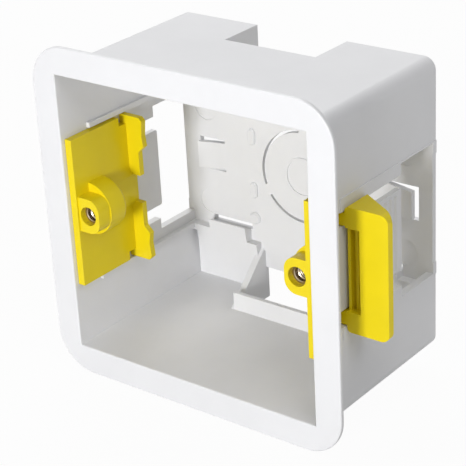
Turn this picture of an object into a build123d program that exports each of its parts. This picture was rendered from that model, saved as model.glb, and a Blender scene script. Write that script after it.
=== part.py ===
from build123d import *
import math
import os

# Millimetres. X is right, Y goes into the wall and Z is up.
# The lengths on Y below are counted from the front of the flange.
# The saved origin lies midway between the fronts of the two thread inserts.

# Flange
flange_width = 84.0
flange_height = 84.0
flange_thickness = 1.2
flange_corner_radius = 10.0

# Housing
housing_width = 73.6
housing_height = 73.2
housing_depth = 48.2
housing_corner_radius = 3.0
side_wall = 1.8
top_wall = 1.6
rear_wall = 1.5
core_draft = 0.6

# Side windows
window_front = 7.6
window_step = 33.0
window_half = 13.8
rear_window_half = 16.6
window_trim_width = 3.2
window_trim_height = 0.2

# Ratchet tongues
tongue_end = 33.9
tongue_half = 10.1
tongue_corner_radius = 0.6
tongue_thickness = 1.4
tooth_pitch = 2.0
tooth_length = 1.6
tooth_crest = 0.4
tooth_height = 0.4
tooth_margin = 1.0
rack_length = 12.0

# Guide rails
rail_front = 9.0
rail_width = 1.3
rail_height = 0.9

# Cable entries, one at the top and one at the bottom
entry_half_width = 12.9
entry_front = 35.4
entry_rear_height = 8.8
entry_lip_height = 4.6
entry_lip_thickness = 1.2
gusset_thickness = 1.8
gusset_rise = 14.2
entry_recess_depth = 0.5
entry_recess_height = 4.8

# Knockout in the rear wall
knockout_radius = 12.3
knockout_slot = 0.7
knockout_bridges = 3
knockout_bridge_degrees = 14.0
knockout_first_bridge = 87.0
knockout_rim_radius = 5.2
knockout_rim_width = 0.6
knockout_rim_height = 0.3

# Sprung tabs of the rear wall, ramped forward from their roots to their free ends
tab_root = 23.9
tab_top = 4.1
tab_foot = -3.0
tab_rise = 2.1
tab_slit = 0.7
right_tab_end = 32.4
left_tab_end = 31.0

# Cord slots of the rear wall
cord_slot_centre = 22.4
cord_slot_length = 12.2
cord_slot_height = 1.5
cord_slot_top = 16.3

# Wedge-shaped corner pads of the rear wall
pad_rise = 2.8
pad_crest_rise = 1.1
pad_side_gap = 1.9
pad_shoulder = 2.6
pad_tab_height = 1.9
pad_notch_width = 0.5
pad_notch_height = 4.1

# Raised studs and ejector marks of the rear wall
stud_radius = 1.1
stud_length = 4.4
stud_x = 15.2
stud_upper_z = 7.7
stud_lower_z = -6.7
round_stud_radius = 1.6
round_stud_z = -14.4
stud_height = 0.7
stud_chamfer = 0.4
ejector_radius = 3.3
ejector_x = 29.4
ejector_z = 12.8
ejector_depth = 0.2

# Clamps
clamp_plate_thickness = 1.9
clamp_plate_half = 18.8
clamp_plate_front = 1.3
clamp_plate_rear = 20.6
clamp_wall_gap = 0.1
rail_gap = 0.4
neck_rear = 17.7
neck_gap = 0.4

# Grips turned in at the rear of the clamps
grip_thickness = 1.5
grip_space_half = 3.6
grip_narrow = 5.2
grip_wide = 6.9
grip_flare_start = 9.7
grip_flare_height = 1.7
grip_waist = 0.4
grip_waist_height = 2.8
grip_corner = 0.9
relief_depth = 2.5
relief_height = 2.2

# Lugs outside the housing
lug_gap = 0.3
lug_half = 15.1
lug_front = 10.0
lug_rear = 18.3
lug_reach = 11.4
lug_tip_thickness = 1.5
lug_tip_rake = 0.2
lug_corner_radius = 2.4
lug_shoulder_radius = 1.0
hollow_half = 10.1
hollow_edge = 1.0
hollow_depth = 2.6
hollow_width = 3.6
hollow_rib = 0.7

# Screw bosses of the clamps, their inset from the opening's side puts the two screws 60.3 apart
boss_inset = 4.85
boss_front = 1.8
nose_reach = 3.4
nose_half = 4.4
nose_corner_radius = 3.2
barrel_radius = 6.6
barrel_front = 5.8
barrel_rear = 11.8
barrel_round = 1.2
bore_radius = 2.35
spine_half = 3.4
spine_foot_half = 5.2
spine_height = 1.0

# Metal thread inserts
insert_flats = 5.4
insert_front = 3.4
insert_length = 6.4
screw_thread_radius = 1.75

# How far a joined form is sunk into its neighbour, and a cut runs past a face
overlap = 1.0

# Values that follow
opening_width = housing_width - 2 * side_wall
opening_height = housing_height - 2 * top_wall
half_width = housing_width / 2
half_height = housing_height / 2
half_opening = opening_width / 2
core_floor = -opening_height / 2 + core_draft
rear_inner = housing_depth - rear_wall
boss_x = half_opening - boss_inset
plate_outer = half_opening - clamp_wall_gap
plate_inner = plate_outer - clamp_plate_thickness
track_half = clamp_plate_half + rail_gap
trim_face = half_width + window_trim_height
lug_inner = trim_face + lug_gap
lug_tip = half_width + lug_reach


def along_depth(sketch, front, rear):
    """Solid with an XZ outline between two depths."""
    return extrude(Plane.XZ.offset(-rear) * sketch, amount=rear - front)


def across(sketch, low, high):
    """Solid with a YZ outline between two positions on X."""
    return extrude(Plane.YZ.offset(low) * sketch, amount=high - low)


def upright(sketch, low, high):
    """Solid with an XY outline between two heights."""
    return extrude(Plane.XY.offset(low) * sketch, amount=high - low)


def outline(*points):
    return make_face(Polyline(*points, close=True))


def rectangle(x0, x1, z0, z1):
    return Pos((x0 + x1) / 2, (z0 + z1) / 2) * Rectangle(x1 - x0, z1 - z0)


def both_sides(shape):
    return shape + mirror(shape, Plane.YZ)


def top_and_bottom(shape):
    return shape + mirror(shape, Plane.XY)


def drafted_core(inset):
    """The tapered hollow, its side walls moved in by inset."""
    front = Plane.XZ * Rectangle(opening_width - 2 * inset, opening_height)
    rear = Rectangle(opening_width - 2 * (core_draft + inset), opening_height - 2 * core_draft)
    return loft([front.face(), (Plane.XZ.offset(-rear_inner) * rear).face()])


def side_window():
    """Window outline: the low run the clamp slides in, then the tall bay it enters by."""
    return outline(
        (window_front, -window_half),
        (window_step, -window_half),
        (window_step, -rear_window_half),
        (rear_inner, -rear_window_half),
        (rear_inner, rear_window_half),
        (window_step, rear_window_half),
        (window_step, window_half),
        (window_front, window_half),
    )


def window_trim():
    """Raised strips outside, above and below the window."""
    top = window_half + window_trim_width
    low = rectangle(rail_front, housing_depth, -top, -window_half)
    high = rectangle(rail_front, housing_depth, window_half, top)
    return across(low + high, half_width - overlap, trim_face)


def ratchet_tongue():
    """Sprung tongue of the right wall, its rack of teeth level with the wall's outside."""
    plan = rectangle(window_front - overlap, tongue_end, -tongue_half, tongue_half)
    corners = plan.vertices().group_by(Axis.X)[-1]
    outer = half_width - tooth_height
    leaf = across(fillet(corners, tongue_corner_radius), outer - tongue_thickness, outer)
    root = outer - tongue_thickness / 4
    rack_start = tongue_end - tooth_margin - rack_length
    for index in range(int(rack_length / tooth_pitch)):
        foot = rack_start + index * tooth_pitch
        tooth = outline(
            (root, foot),
            (outer, foot),
            (half_width, foot + tooth_crest),
            (outer, foot + tooth_length),
            (root, foot + tooth_length),
        )
        leaf += upright(tooth, -tongue_half + tooth_margin, tongue_half - tooth_margin)
    return leaf


def cable_entry_walls():
    """Lip and the two sloping gussets round the lower cable entry."""
    buried = core_floor - overlap
    lip_front = entry_front - entry_lip_thickness
    side = entry_half_width + gusset_thickness / 2
    lip = rectangle(-side, side, buried, core_floor + entry_lip_height)
    slope = outline(
        (lip_front, buried),
        (lip_front, core_floor),
        (rear_inner, -half_height + gusset_rise),
        (rear_inner + rear_wall / 2, -half_height + gusset_rise),
        (rear_inner + rear_wall / 2, buried),
    )
    gusset = across(slope, entry_half_width, entry_half_width + gusset_thickness)
    return along_depth(lip, lip_front, entry_front) + both_sides(gusset)


def cable_entry_cut():
    """Opening through the lower wall and the foot of the rear wall."""
    sill = -half_height + entry_rear_height
    hole = rectangle(-entry_half_width, entry_half_width, -half_height - overlap, sill)
    band = rectangle(-entry_half_width, entry_half_width, sill - overlap, sill + entry_recess_height)
    cut = along_depth(hole, entry_front, housing_depth + overlap)
    return cut + along_depth(band, rear_inner - overlap, rear_inner + entry_recess_depth)


def knockout_slots():
    ring = Circle(knockout_radius) - Circle(knockout_radius - knockout_slot)
    half = math.radians(knockout_bridge_degrees / 2)
    reach = (knockout_radius + overlap) / math.cos(half)
    for index in range(knockout_bridges):
        angle = math.radians(knockout_first_bridge + index * 360 / knockout_bridges)
        left = (reach * math.cos(angle - half), reach * math.sin(angle - half))
        right = (reach * math.cos(angle + half), reach * math.sin(angle + half))
        ring -= outline((0, 0), left, right)
    return along_depth(ring, rear_inner - overlap, housing_depth + overlap)


def knockout_rim():
    """Low plain ring moulded on the middle of the knockout."""
    ring = Circle(knockout_rim_radius) - Circle(knockout_rim_radius - knockout_rim_width)
    return along_depth(ring, rear_inner - knockout_rim_height, rear_inner + rear_wall / 2)


def rear_wall_pad():
    """Wedge in a lower corner, highest beside the cord slot and level with the wall at the floor."""
    side = -half_opening
    left = -cord_slot_centre - cord_slot_length / 2
    right = -cord_slot_centre + cord_slot_length / 2 - pad_notch_width
    inner = -entry_half_width - gusset_thickness / 2
    foot = -cord_slot_top - cord_slot_height
    crest = foot + pad_crest_rise
    buried = core_floor - overlap
    shape = outline(
        (side, crest - pad_shoulder),
        (left, crest - pad_shoulder),
        (left, crest),
        (right, crest),
        (right, crest - pad_notch_height),
        (inner, crest - pad_notch_height),
        (inner, buried),
        (side + pad_side_gap, buried),
        (side + pad_side_gap, crest - pad_shoulder - pad_tab_height),
        (side, crest - pad_shoulder - pad_tab_height),
    )
    middle = rear_inner + rear_wall / 2
    wedge = outline(
        (rear_inner - pad_rise, crest),
        (rear_inner, foot),
        (middle, foot),
        (middle, buried),
        (rear_inner, core_floor),
    )
    return along_depth(shape, rear_inner - pad_rise, middle) & across(wedge, side, inner)


def sprung_tab(end):
    """Tab that ramps forward from its root in the rear wall to its free end, on the right."""
    ramp = outline(
        (tab_root - overlap, rear_inner),
        (tab_root, rear_inner),
        (end, rear_inner - tab_rise),
        (end, rear_inner - tab_rise + rear_wall),
        (tab_root, housing_depth),
        (tab_root - overlap, housing_depth),
    )
    return upright(ramp, tab_foot, tab_top)


def tab_opening(end):
    """Opening round a sprung tab, cut before the tab is added."""
    hole = rectangle(tab_root, end + tab_slit, tab_foot - tab_slit, tab_top + tab_slit)
    return along_depth(hole, rear_inner - overlap, housing_depth + overlap)


def cord_slots():
    slot = Rectangle(cord_slot_length, cord_slot_height)
    slot = Pos(cord_slot_centre, -cord_slot_top - cord_slot_height / 2) * slot
    return both_sides(along_depth(slot, rear_inner - overlap, housing_depth + overlap))


def rear_wall_studs():
    """Low studs beside the knockout, with softened tops."""
    outlines = [
        Pos(stud_x, stud_upper_z) * SlotOverall(stud_length, 2 * stud_radius, 90),
        Pos(stud_x, stud_lower_z) * SlotOverall(stud_length, 2 * stud_radius, 90),
        Pos(stud_x, round_stud_z) * Circle(round_stud_radius),
    ]
    studs = Part()
    for sketch in outlines:
        stud = along_depth(sketch, rear_inner - stud_height, rear_inner + rear_wall / 2)
        studs += chamfer(stud.faces().sort_by(Axis.Y)[0].edges(), stud_chamfer)
    return both_sides(studs)


def ejector_marks():
    mark = Pos(ejector_x, ejector_z) * Circle(ejector_radius)
    return both_sides(top_and_bottom(along_depth(mark, rear_inner - overlap, rear_inner + ejector_depth)))


def housing():
    walls = RectangleRounded(housing_width, housing_height, housing_corner_radius)
    flange = RectangleRounded(flange_width, flange_height, flange_corner_radius)
    body = along_depth(walls, 0, housing_depth) + along_depth(flange, 0, flange_thickness)
    body += both_sides(window_trim())
    track = along_depth(Rectangle(opening_width, 2 * track_half), 0, rear_inner)
    body -= drafted_core(0) + track
    band = rectangle(-half_opening - overlap, half_opening + overlap, track_half, track_half + rail_width)
    body += top_and_bottom(along_depth(band, rail_front, rear_inner) - drafted_core(rail_height))
    body -= across(side_window(), -trim_face - overlap, trim_face + overlap)
    body += both_sides(ratchet_tongue())
    body -= ejector_marks()
    body += rear_wall_studs()
    body += both_sides(rear_wall_pad())
    body += top_and_bottom(cable_entry_walls())
    body -= top_and_bottom(cable_entry_cut())
    body += knockout_rim()
    body -= knockout_slots()
    body -= cord_slots()
    body -= tab_opening(right_tab_end) + mirror(tab_opening(left_tab_end), Plane.YZ)
    body += sprung_tab(right_tab_end) + mirror(sprung_tab(left_tab_end), Plane.YZ)
    return body


def grip():
    """The upper grip, from the gap at the middle to the plate's end, as an XZ outline."""
    root = plate_outer
    narrow = plate_outer - grip_narrow
    wide = plate_outer - grip_wide
    flare_end = grip_flare_start + grip_flare_height
    return outline(
        (root, grip_space_half),
        (narrow, grip_space_half),
        (narrow, grip_flare_start),
        (wide, flare_end),
        (wide + grip_waist, flare_end + grip_waist_height),
        (wide, clamp_plate_half - grip_corner),
        (wide + grip_corner, clamp_plate_half),
        (root, clamp_plate_half),
    )


def boss():
    """Screw boss of the right clamp: a nose before a half-round barrel centred on the plate's face."""
    nose = rectangle(boss_x - nose_reach, plate_outer, -nose_half, nose_half)
    nose = fillet(nose.vertices().group_by(Axis.X)[0], nose_corner_radius)
    shape = along_depth(nose, boss_front, barrel_front + overlap)
    barrel = along_depth(Pos(plate_inner, 0) * Circle(barrel_radius), barrel_front, barrel_rear)
    rear_edge = barrel.edges().filter_by(GeomType.CIRCLE).sort_by(Axis.Y)[-1]
    shape += fillet(rear_edge, barrel_round)
    spine = outline(
        (plate_outer, -spine_foot_half),
        (plate_inner, -spine_foot_half),
        (plate_inner - spine_height, -spine_half),
        (plate_inner - spine_height, spine_half),
        (plate_inner, spine_foot_half),
        (plate_outer, spine_foot_half),
    )
    shape += along_depth(spine, barrel_front, clamp_plate_rear + grip_thickness)
    beyond = rectangle(plate_outer, plate_outer + 2 * barrel_radius, -2 * barrel_radius, 2 * barrel_radius)
    return shape - along_depth(beyond, 0, barrel_rear + overlap)


def lug():
    """Outer lug of the right clamp that grips the back of the board, with a ribbed hollow at its middle."""
    plan = outline(
        (lug_inner, lug_front),
        (lug_tip, lug_front),
        (lug_tip + lug_tip_rake, lug_front + lug_tip_thickness),
        (lug_inner, lug_rear),
    )
    floor = lug_front + hollow_depth
    rib = lug_inner + 2 * hollow_rib
    hollow = rectangle(lug_inner - overlap, lug_inner + hollow_width, lug_front - overlap, floor)
    hollow -= rectangle(lug_inner, lug_inner + hollow_rib, lug_front + hollow_edge, floor)
    hollow -= rectangle(rib, rib + hollow_rib, floor - hollow_rib, floor)
    shape = upright(plan, -lug_half, lug_half) - upright(hollow, -hollow_half, hollow_half)
    side = rectangle(lug_inner, lug_tip + lug_tip_rake, -lug_half, lug_half)
    side = fillet(side.vertices().group_by(Axis.X)[-1], lug_corner_radius)
    side = fillet(side.vertices().group_by(Axis.X)[0], lug_shoulder_radius)
    return shape & along_depth(side, 0, lug_rear + overlap)


def necks():
    """The two necks that pass through the window, above and below the tongue."""
    plan = rectangle(plate_inner, lug_inner + overlap / 2, lug_front, neck_rear)
    return top_and_bottom(upright(plan, tongue_half + neck_gap, window_half - neck_gap))


def insert_outline():
    return Pos(boss_x, 0) * RegularPolygon(insert_flats / 2, 6, major_radius=False, rotation=30)


def clamp():
    """Right clamp: slide plate, grips, screw boss, necks and lug in one moulding."""
    face = rectangle(plate_inner, plate_outer, -clamp_plate_half, clamp_plate_half)
    shape = along_depth(face, clamp_plate_front, clamp_plate_rear)
    end = clamp_plate_half + overlap
    relief = rectangle(plate_inner - overlap, plate_outer + overlap, clamp_plate_half - relief_height, end)
    shape -= top_and_bottom(along_depth(relief, clamp_plate_rear - relief_depth, clamp_plate_rear))
    shape += top_and_bottom(along_depth(grip(), clamp_plate_rear, clamp_plate_rear + grip_thickness))
    shape += boss()
    shape += necks()
    shape += lug()
    shape -= along_depth(Pos(boss_x, 0) * Circle(bore_radius), 0, insert_front + overlap)
    return shape - along_depth(insert_outline(), insert_front, barrel_rear + overlap)


def thread_insert():
    profile = insert_outline() - Pos(boss_x, 0) * Circle(screw_thread_radius)
    return along_depth(profile, insert_front, insert_front + insert_length)


def save(shape, name):
    export_step(Pos(0, -insert_front, 0) * shape, f"parts/{name}.step")


os.makedirs("parts", exist_ok=True)
right_clamp = clamp()
right_insert = thread_insert()
save(housing(), "back_box")
save(right_clamp, "right_clamp")
save(mirror(right_clamp, Plane.YZ), "left_clamp")
save(right_insert, "right_thread_insert")
save(mirror(right_insert, Plane.YZ), "left_thread_insert")
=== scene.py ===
import math

import bmesh
import bpy
from mathutils import Matrix, Vector


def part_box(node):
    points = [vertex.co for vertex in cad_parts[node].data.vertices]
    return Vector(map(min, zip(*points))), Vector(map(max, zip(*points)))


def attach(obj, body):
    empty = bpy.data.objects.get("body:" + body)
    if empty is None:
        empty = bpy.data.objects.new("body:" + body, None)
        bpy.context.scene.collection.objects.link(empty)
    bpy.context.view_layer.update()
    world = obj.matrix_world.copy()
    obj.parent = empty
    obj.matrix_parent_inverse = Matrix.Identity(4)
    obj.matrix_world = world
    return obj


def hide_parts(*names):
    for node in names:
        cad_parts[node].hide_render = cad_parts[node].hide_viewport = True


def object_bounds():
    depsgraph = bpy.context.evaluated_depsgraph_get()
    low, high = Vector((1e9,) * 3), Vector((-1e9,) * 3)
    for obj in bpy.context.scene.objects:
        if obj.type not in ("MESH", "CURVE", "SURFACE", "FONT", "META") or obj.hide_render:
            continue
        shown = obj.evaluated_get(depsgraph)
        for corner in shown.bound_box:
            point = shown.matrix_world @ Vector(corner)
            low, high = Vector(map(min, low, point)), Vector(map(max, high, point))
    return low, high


bl_info = {
    "name": "Drywall Back Box",
    "version": (1, 0, 0),
    "blender": (4, 5, 0),
    "location": "View3D > Sidebar > Back Box",
    "description": "Dresses the packed back box: softened mouldings, threaded inserts, finishes and stage",
    "category": "Object",
}

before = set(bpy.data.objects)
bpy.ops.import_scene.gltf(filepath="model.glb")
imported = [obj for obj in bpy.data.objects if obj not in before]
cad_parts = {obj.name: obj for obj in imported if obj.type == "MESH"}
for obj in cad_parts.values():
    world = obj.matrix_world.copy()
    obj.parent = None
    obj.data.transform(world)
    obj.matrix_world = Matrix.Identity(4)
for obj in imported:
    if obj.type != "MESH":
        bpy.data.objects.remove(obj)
cad_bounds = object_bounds()

MM = 0.001
# The flange's front lies this far in front of the inserts' fronts, which hold the origin
FLANGE_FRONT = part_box("back_box")[0].y
HOUSING_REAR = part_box("back_box")[1].y
BORE_RADIUS = 1.75 * MM

# Points nearer than this are one point
MERGE_DISTANCE = 0.002 * MM
# Faces turned less than this are one flat face
FLAT_ANGLE = math.radians(0.4)
# Edges turned more than these are rounded: on the clamps and rims, and on the housing's small forms
SHARP_ANGLE = math.radians(38)
CREASE_ANGLE = math.radians(60)
SMOOTH_ANGLE = math.radians(32)
THREAD_STEPS = 40


class HousingSettings(bpy.types.PropertyGroup):
    colour: bpy.props.FloatVectorProperty(
        name="Colour", description="Colour of the white moulding", subtype="COLOR",
        size=3, min=0.0, max=1.0, default=(0.76, 0.762, 0.778),
    )
    rim_round: bpy.props.FloatProperty(
        name="Rim rounding", description="Rounding of the flange's rim and the mouth of the box",
        subtype="DISTANCE", unit="LENGTH", min=0.0, default=0.35 * MM,
    )
    edge_round: bpy.props.FloatProperty(
        name="Edge rounding", description="Rounding of the windows, tongues, lips and gussets",
        subtype="DISTANCE", unit="LENGTH", min=0.0, default=0.12 * MM,
    )
    grain: bpy.props.FloatProperty(
        name="Grain", description="Size of the moulded surface's grain",
        subtype="DISTANCE", unit="LENGTH", min=0.01 * MM, default=0.35 * MM,
    )


class ClampSettings(bpy.types.PropertyGroup):
    colour: bpy.props.FloatVectorProperty(
        name="Colour", description="Colour of the yellow mouldings", subtype="COLOR",
        size=3, min=0.0, max=1.0, default=(0.80, 0.635, 0.006),
    )
    edge_round: bpy.props.FloatProperty(
        name="Edge rounding", description="Rounding of the plate, grips, boss and lug",
        subtype="DISTANCE", unit="LENGTH", min=0.0, default=0.2 * MM,
    )
    grain: bpy.props.FloatProperty(
        name="Grain", description="Size of the moulded surface's grain",
        subtype="DISTANCE", unit="LENGTH", min=0.01 * MM, default=0.5 * MM,
    )


class InsertSettings(bpy.types.PropertyGroup):
    colour: bpy.props.FloatVectorProperty(
        name="Colour", description="Colour of the bare metal", subtype="COLOR",
        size=3, min=0.0, max=1.0, default=(0.52, 0.43, 0.32),
    )
    pitch: bpy.props.FloatProperty(
        name="Pitch", description="Pitch of the screw thread",
        subtype="DISTANCE", unit="LENGTH", min=0.3 * MM, default=0.6 * MM,
    )
    thread_depth: bpy.props.FloatProperty(
        name="Thread depth", description="Height of the thread's crests above the bore",
        subtype="DISTANCE", unit="LENGTH", min=0.05 * MM, default=0.3 * MM,
    )
    lead_in: bpy.props.FloatProperty(
        name="Lead-in", description="Chamfer at both ends of the bore",
        subtype="DISTANCE", unit="LENGTH", min=0.0, default=0.3 * MM,
    )


class StageSettings(bpy.types.PropertyGroup):
    key_level: bpy.props.FloatProperty(
        name="Key level", description="Light of the low key lamp in front of the box",
        min=0.0, default=0.75,
    )
    side_level: bpy.props.FloatProperty(
        name="Side level", description="Light of the soft lamp above and to the right",
        min=0.0, default=0.23,
    )
    fill_level: bpy.props.FloatProperty(
        name="Fill level", description="Light of the soft lamp above and behind the box",
        min=0.0, default=0.54,
    )
    world_level: bpy.props.FloatProperty(
        name="World level", description="Even light from all round",
        min=0.0, default=0.29,
    )
    floor_white: bpy.props.FloatProperty(
        name="Floor white", description="Share of plain white in the floor, the rest takes light and shadow",
        subtype="FACTOR", min=0.0, max=1.0, default=0.96,
    )


def deselect_all():
    if bpy.context.object and bpy.context.object.mode != "OBJECT":
        bpy.ops.object.mode_set(mode="OBJECT")
    bpy.ops.object.select_all(action="DESELECT")


def make_active(piece):
    deselect_all()
    piece.select_set(True)
    bpy.context.view_layer.objects.active = piece


def copy_of_node(node, name):
    """Own piece from a CAD node's mesh, its loose triangles merged to one skin of flat faces."""
    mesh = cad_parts[node].data.copy()
    mesh.materials.clear()
    piece = bpy.data.objects.new(name, mesh)
    bpy.context.scene.collection.objects.link(piece)
    make_active(piece)
    if mesh.has_custom_normals:
        bpy.ops.mesh.customdata_custom_splitnormals_clear()
    bpy.ops.object.mode_set(mode="EDIT")
    bpy.ops.mesh.select_all(action="SELECT")
    bpy.ops.mesh.remove_doubles(threshold=MERGE_DISTANCE)
    bpy.ops.mesh.dissolve_limited(angle_limit=FLAT_ANGLE, use_dissolve_boundaries=False)
    bpy.ops.object.mode_set(mode="OBJECT")
    return piece


def select_sharp_edges(piece, test):
    """Selects the outer edges that pass the test and counts them. Edit mode only."""
    bpy.context.tool_settings.mesh_select_mode = (False, True, False)
    bpy.ops.mesh.select_all(action="DESELECT")
    mesh = bmesh.from_edit_mesh(piece.data)
    count = 0
    for edge in mesh.edges:
        if len(edge.link_faces) != 2 or edge.calc_face_angle_signed() < SHARP_ANGLE:
            continue
        middle = (edge.verts[0].co + edge.verts[1].co) / 2
        if test(middle, edge):
            edge.select_set(True)
            count += 1
    mesh.select_flush_mode()
    bmesh.update_edit_mesh(piece.data)
    return count


def round_edges(piece, offset, test, segments=2):
    make_active(piece)
    bpy.ops.object.mode_set(mode="EDIT")
    if select_sharp_edges(piece, test):
        bpy.ops.mesh.bevel(
            offset=offset, segments=segments, affect="EDGES", clamp_overlap=True,
            miter_outer="ARC", loop_slide=True,
        )
    bpy.ops.object.mode_set(mode="OBJECT")


def merge_slivers(piece):
    """Merges the points that narrow roundings leave on top of each other."""
    make_active(piece)
    bpy.ops.object.mode_set(mode="EDIT")
    bpy.ops.mesh.select_all(action="SELECT")
    bpy.ops.mesh.remove_doubles(threshold=MERGE_DISTANCE)
    bpy.ops.object.mode_set(mode="OBJECT")


def finish_mesh(piece, material, body, node):
    merge_slivers(piece)
    piece.data.materials.append(material)
    bpy.ops.object.shade_smooth_by_angle(angle=SMOOTH_ANGLE)
    flats = piece.modifiers.new("Flats", "WEIGHTED_NORMAL")
    flats.keep_sharp = True
    flats.weight = 100
    bpy.ops.object.modifier_apply(modifier=flats.name)
    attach(piece, body)
    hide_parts(node)


def new_material(name):
    material = bpy.data.materials.new(name)
    material.use_nodes = True
    tree = material.node_tree
    return material, tree, tree.nodes["Principled BSDF"]


def node_of(tree, kind, **inputs):
    node = tree.nodes.new(kind)
    for name, value in inputs.items():
        node.inputs[name.replace("_", " ")].default_value = value
    return node


def moulded_plastic(name, colour, grain, gloss, specular, shade):
    """Moulded plastic: spark grain in the bump, cloudy flow in the colour, uneven polish in the roughness."""
    material, tree, shader = new_material(name)
    link = tree.links.new
    place = tree.nodes.new("ShaderNodeTexCoord").outputs["Object"]
    flow = node_of(tree, "ShaderNodeTexNoise", Scale=90.0, Detail=4.0, Roughness=0.55)
    link(place, flow.inputs["Vector"])
    tint = tree.nodes.new("ShaderNodeValToRGB")
    tint.color_ramp.elements[0].position = 0.3
    tint.color_ramp.elements[1].position = 0.7
    tint.color_ramp.elements[0].color = (*[c * shade for c in colour], 1.0)
    tint.color_ramp.elements[1].color = (*colour, 1.0)
    link(flow.outputs["Fac"], tint.inputs["Fac"])
    link(tint.outputs["Color"], shader.inputs["Base Color"])
    spark = node_of(tree, "ShaderNodeTexNoise", Scale=1.0 / grain, Detail=2.0, Roughness=0.6)
    link(place, spark.inputs["Vector"])
    polish = tree.nodes.new("ShaderNodeMapRange")
    polish.inputs["From Min"].default_value = 0.3
    polish.inputs["From Max"].default_value = 0.7
    polish.inputs["To Min"].default_value = gloss - 0.06
    polish.inputs["To Max"].default_value = gloss + 0.06
    link(spark.outputs["Fac"], polish.inputs["Value"])
    link(polish.outputs["Result"], shader.inputs["Roughness"])
    bump = node_of(tree, "ShaderNodeBump", Strength=0.25, Distance=grain * 0.12)
    link(spark.outputs["Fac"], bump.inputs["Height"])
    link(bump.outputs["Normal"], shader.inputs["Normal"])
    shader.inputs["Specular IOR Level"].default_value = specular
    return material


def turned_metal(name, colour):
    """Turned metal: fine tool rings round the bore in the bump, dull oxide in the colour."""
    material, tree, shader = new_material(name)
    link = tree.links.new
    place = tree.nodes.new("ShaderNodeTexCoord").outputs["Object"]
    dull = node_of(tree, "ShaderNodeTexNoise", Scale=900.0, Detail=3.0, Roughness=0.6)
    link(place, dull.inputs["Vector"])
    tint = tree.nodes.new("ShaderNodeValToRGB")
    tint.color_ramp.elements[0].color = (*[c * 0.75 for c in colour], 1.0)
    tint.color_ramp.elements[1].color = (*colour, 1.0)
    link(dull.outputs["Fac"], tint.inputs["Fac"])
    link(tint.outputs["Color"], shader.inputs["Base Color"])
    rings = node_of(tree, "ShaderNodeTexWave", Scale=2600.0, Distortion=1.5, Detail=2.0)
    rings.bands_direction = "Y"
    link(place, rings.inputs["Vector"])
    bump = node_of(tree, "ShaderNodeBump", Strength=0.2, Distance=0.02 * MM)
    link(rings.outputs["Fac"], bump.inputs["Height"])
    link(bump.outputs["Normal"], shader.inputs["Normal"])
    shader.inputs["Metallic"].default_value = 1.0
    shader.inputs["Roughness"].default_value = 0.28
    return material


class BACKBOX_OT_housing(bpy.types.Operator):
    """The white moulding, with its rims and window edges softened"""

    bl_idname = "backbox.housing"
    bl_label = "Housing"

    def execute(self, context):
        settings = context.scene.backbox_housing
        piece = copy_of_node("back_box", "housing_moulding")
        tiny = 0.05 * MM

        def rim(middle, edge):
            outside = abs(middle.x) > 38 * MM or abs(middle.z) > 38 * MM
            return outside and middle.y < FLANGE_FRONT + 2 * MM

        def mouth(middle, edge):
            inside = abs(middle.x) < 36 * MM and abs(middle.z) < 36.2 * MM
            return inside and middle.y < FLANGE_FRONT + tiny

        def back(middle, edge):
            on_rear = middle.y > HOUSING_REAR - tiny
            return on_rear and max(abs(middle.x), abs(middle.z)) > 36 * MM

        def small(middle, edge):
            return edge.calc_face_angle_signed() > CREASE_ANGLE

        round_edges(piece, settings.rim_round, rim, 3)
        round_edges(piece, settings.rim_round, mouth, 3)
        round_edges(piece, settings.rim_round, back, 2)
        round_edges(piece, settings.edge_round, small, 1)
        material = moulded_plastic(
            "white_moulding", settings.colour, settings.grain, 0.5, 0.4, 0.97
        )
        finish_mesh(piece, material, "housing", "back_box")
        return {"FINISHED"}


class BACKBOX_OT_clamps(bpy.types.Operator):
    """The two yellow clamps, with their edges softened"""

    bl_idname = "backbox.clamps"
    bl_label = "Clamps"

    def execute(self, context):
        settings = context.scene.backbox_clamps
        material = moulded_plastic(
            "yellow_moulding", settings.colour, settings.grain, 0.38, 0.3, 0.95
        )
        for side in ("left", "right"):
            piece = copy_of_node(side + "_clamp", side + "_clamp_moulding")
            round_edges(piece, settings.edge_round, lambda middle, edge: True)
            finish_mesh(piece, material, side + "_side", side + "_clamp")
        return {"FINISHED"}


def thread_coil(settings, axis_x, front, rear):
    """Coiled ridge of the screw thread round a bore along Y, its root sunk in the bore's wall."""
    radius = settings.thread_depth * 1.15
    turns = int((rear - front - 2 * settings.lead_in) / settings.pitch) - 1
    deselect_all()
    bpy.ops.mesh.primitive_circle_add(
        vertices=3, radius=radius, fill_type="NOTHING", rotation=(0.0, 0.0, math.radians(90)),
        location=(BORE_RADIUS - settings.thread_depth + radius, 0.0, 0.0),
    )
    coil = bpy.context.object
    bpy.ops.object.transform_apply(location=True, rotation=True, scale=True)
    screw = coil.modifiers.new("Coil", "SCREW")
    screw.axis = "Y"
    screw.angle = math.tau
    screw.screw_offset = settings.pitch
    screw.iterations = turns
    screw.steps = THREAD_STEPS
    screw.render_steps = THREAD_STEPS
    screw.use_merge_vertices = False
    bpy.ops.object.modifier_apply(modifier=screw.name)
    bpy.ops.object.mode_set(mode="EDIT")
    bpy.ops.mesh.select_all(action="SELECT")
    bpy.ops.mesh.fill_holes(sides=0)
    bpy.ops.mesh.select_all(action="SELECT")
    bpy.ops.mesh.normals_make_consistent(inside=False)
    bpy.ops.object.mode_set(mode="OBJECT")
    middle = (front + rear - (turns - 1) * settings.pitch) / 2
    coil.location = (axis_x, middle, 0.0)
    bpy.ops.object.transform_apply(location=True, rotation=True, scale=True)
    return coil


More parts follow.
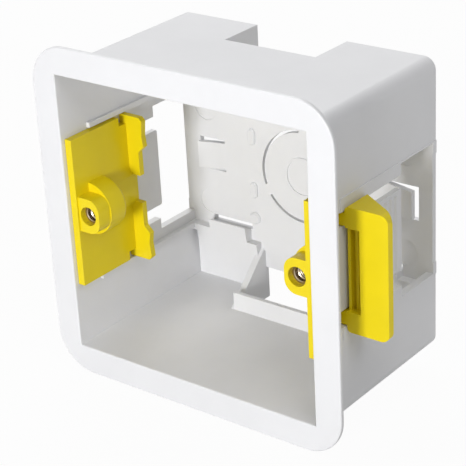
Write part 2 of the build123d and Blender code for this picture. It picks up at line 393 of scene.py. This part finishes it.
class BACKBOX_OT_inserts(bpy.types.Operator):
    """The two metal inserts with their screw threads"""

    bl_idname = "backbox.inserts"
    bl_label = "Thread inserts"

    def execute(self, context):
        settings = context.scene.backbox_inserts
        material = turned_metal("turned_brass", settings.colour)
        for side in ("left", "right"):
            node = side + "_thread_insert"
            low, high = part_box(node)
            axis_x = (low.x + high.x) / 2
            piece = copy_of_node(node, node + "_turned")

            def bore_end(middle, edge):
                return math.hypot(middle.x - axis_x, middle.z) < BORE_RADIUS * 1.05

            round_edges(piece, settings.lead_in, bore_end, 1)
            coil = thread_coil(settings, axis_x, low.y, high.y)
            make_active(piece)
            coil.select_set(True)
            bpy.ops.object.join()
            finish_mesh(piece, material, side + "_side", node)
        return {"FINISHED"}


class BACKBOX_OT_stage(bpy.types.Operator):
    """Pale floor, soft studio light and the camera"""

    bl_idname = "backbox.stage"
    bl_label = "Stage"

    def execute(self, context):
        settings = context.scene.backbox_stage
        scene = context.scene
        deselect_all()
        floor_height = Vector(cad_bounds[0]).z
        bpy.ops.mesh.primitive_circle_add(
            vertices=96, radius=3.0, fill_type="NGON", location=(0.0, 0.0, floor_height)
        )
        floor = context.object
        floor.name = "floor"
        floor.data.materials.append(floor_paint(settings.floor_white))
        add_lamp("key_lamp", Vector((0.157, -0.98, 0.12)), 0.6, (0.16, 0.14), settings.key_level)
        add_lamp("side_lamp", Vector((0.62, -0.25, 0.74)), 1.6, (0.8, 0.8), settings.side_level)
        add_lamp("fill_lamp", Vector((-0.5, 0.45, 0.74)), 1.6, (1.0, 1.0), settings.fill_level)
        paint_world(scene, settings.world_level)
        place_camera(scene)
        scene.view_settings.view_transform = "Standard"
        return {"FINISHED"}


def seen_directly(tree):
    """1 for rays from the camera, off gloss and through clear pieces, 0 for the light on the object."""
    path = tree.nodes.new("ShaderNodeLightPath")
    total = path.outputs["Is Camera Ray"]
    for name in ("Is Glossy Ray", "Is Transmission Ray"):
        add = tree.nodes.new("ShaderNodeMath")
        add.operation = "MAXIMUM"
        tree.links.new(total, add.inputs[0])
        tree.links.new(path.outputs[name], add.inputs[1])
        total = add.outputs[0]
    return total


def floor_paint(white):
    material, tree, shader = new_material("pale_floor")
    shader.inputs["Base Color"].default_value = (0.6, 0.6, 0.6, 1.0)
    shader.inputs["Roughness"].default_value = 0.9
    shader.inputs["Specular IOR Level"].default_value = 0.0
    glow = tree.nodes.new("ShaderNodeEmission")
    share = tree.nodes.new("ShaderNodeMath")
    share.operation = "MULTIPLY"
    share.inputs[1].default_value = white
    tree.links.new(seen_directly(tree), share.inputs[0])
    mix = tree.nodes.new("ShaderNodeMixShader")
    tree.links.new(share.outputs[0], mix.inputs["Fac"])
    tree.links.new(shader.outputs["BSDF"], mix.inputs[1])
    tree.links.new(glow.outputs["Emission"], mix.inputs[2])
    tree.links.new(mix.outputs["Shader"], tree.nodes["Material Output"].inputs["Surface"])
    return material


def add_lamp(name, direction, distance, size, level):
    """Soft box aimed at the object, strong enough to light a white face turned to it to level."""
    place = direction.normalized() * distance
    turn = direction.to_track_quat("Z", "Y").to_euler()
    bpy.ops.object.light_add(type="AREA", location=place, rotation=turn)
    lamp = bpy.context.object
    lamp.name = name
    lamp.data.shape = "RECTANGLE"
    lamp.data.size = size[0]
    lamp.data.size_y = size[1]
    lamp.data.energy = level * math.pi * math.pi * distance ** 2
    return lamp


def paint_world(scene, level):
    world = bpy.data.worlds.new("studio")
    scene.world = world
    world.use_nodes = True
    tree = world.node_tree
    background = tree.nodes["Background"]
    background.inputs["Color"].default_value = (1.0, 1.0, 1.0, 1.0)
    strength = tree.nodes.new("ShaderNodeMapRange")
    strength.inputs["To Min"].default_value = level
    strength.inputs["To Max"].default_value = 1.0
    tree.links.new(seen_directly(tree), strength.inputs["Value"])
    tree.links.new(strength.outputs["Result"], background.inputs["Strength"])


def place_camera(scene):
    """Camera to the right of the box and above it, turned a little about its own axis."""
    place = Vector((0.217449, -0.255463, 0.157769))
    right = Vector((0.7928485, 0.60728621, -0.05093828))
    up = Vector((-0.22003054, 0.36320301, 0.90535636))
    forward = Vector((-0.56831137, 0.70660245, -0.42158647))
    turn = Matrix((right, up, -forward)).transposed().to_euler()
    bpy.ops.object.camera_add(location=place, rotation=turn)
    camera = bpy.context.object
    camera.name = "camera"
    camera.data.sensor_width = 36.0
    camera.data.lens = 126.733
    camera.data.clip_start = 0.01
    scene.camera = camera


class BACKBOX_PT_panel(bpy.types.Panel):
    bl_label = "Back Box"
    bl_idname = "BACKBOX_PT_panel"
    bl_space_type = "VIEW_3D"
    bl_region_type = "UI"
    bl_category = "Back Box"

    def draw(self, context):
        scene = context.scene
        for title, group, operator in (
            ("Housing", scene.backbox_housing, BACKBOX_OT_housing),
            ("Clamps", scene.backbox_clamps, BACKBOX_OT_clamps),
            ("Inserts", scene.backbox_inserts, BACKBOX_OT_inserts),
            ("Stage", scene.backbox_stage, BACKBOX_OT_stage),
        ):
            box = self.layout.box()
            box.label(text=title)
            for name in group.__annotations__:
                box.prop(group, name)
            box.operator(operator.bl_idname)


GROUPS = (
    ("backbox_housing", HousingSettings),
    ("backbox_clamps", ClampSettings),
    ("backbox_inserts", InsertSettings),
    ("backbox_stage", StageSettings),
)
OPERATORS = (BACKBOX_OT_housing, BACKBOX_OT_clamps, BACKBOX_OT_inserts, BACKBOX_OT_stage)


def register():
    for name, group in GROUPS:
        bpy.utils.register_class(group)
        setattr(bpy.types.Scene, name, bpy.props.PointerProperty(type=group))
    for operator in OPERATORS:
        bpy.utils.register_class(operator)
    bpy.utils.register_class(BACKBOX_PT_panel)


def unregister():
    bpy.utils.unregister_class(BACKBOX_PT_panel)
    for operator in reversed(OPERATORS):
        bpy.utils.unregister_class(operator)
    for name, group in reversed(GROUPS):
        delattr(bpy.types.Scene, name)
        bpy.utils.unregister_class(group)


def main():
    register()
    bpy.ops.backbox.housing()
    bpy.ops.backbox.clamps()
    bpy.ops.backbox.inserts()
    bpy.ops.backbox.stage()


if __name__ == "__main__":
    main()
